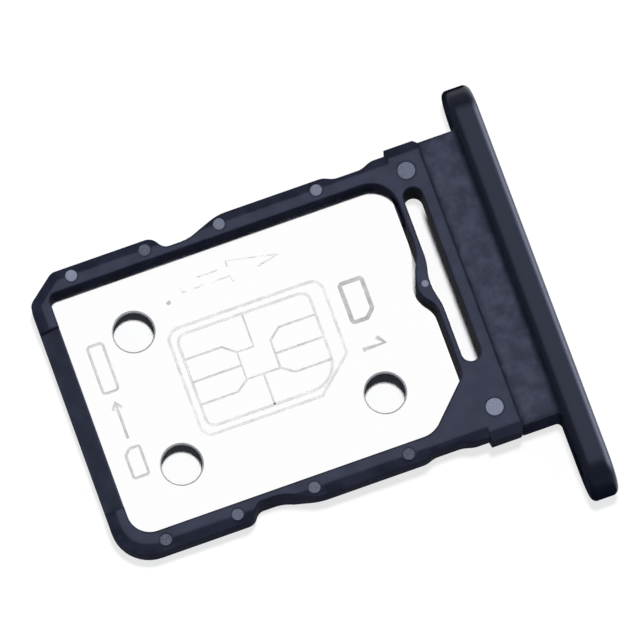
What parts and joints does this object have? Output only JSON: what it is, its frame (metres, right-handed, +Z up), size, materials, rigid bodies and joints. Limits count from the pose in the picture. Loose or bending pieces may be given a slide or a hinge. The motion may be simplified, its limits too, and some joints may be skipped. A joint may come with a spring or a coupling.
{
  "type": "sim card tray",
  "caption": "Flat double-sided card tray: a moulded ring with a spring strip round a steel floor plate, closed by a long rounded end cap, slides into a slot in a phone's side.",
  "frame": {"origin": "under the middle of the whole tray, level with the lowest point of the head", "axes": "+X along the tray towards the head, the way it is pulled out; +Y across it, towards the head's short overhang; +Z up, out of the pocket with its keyed corner on the long-overhang side"},
  "size_m": [0.0168, 0.0154, 0.0024],
  "materials": {
    "frame": "moulded, fine matt",
    "plate": "bright rolled",
    "cap": "dark anodised, satin"
  },
  "bodies": {
    "root": {"tray_frame": "frame", "floor_plate": "plate", "end_cap": "cap"}
  },
  "joints": []
}
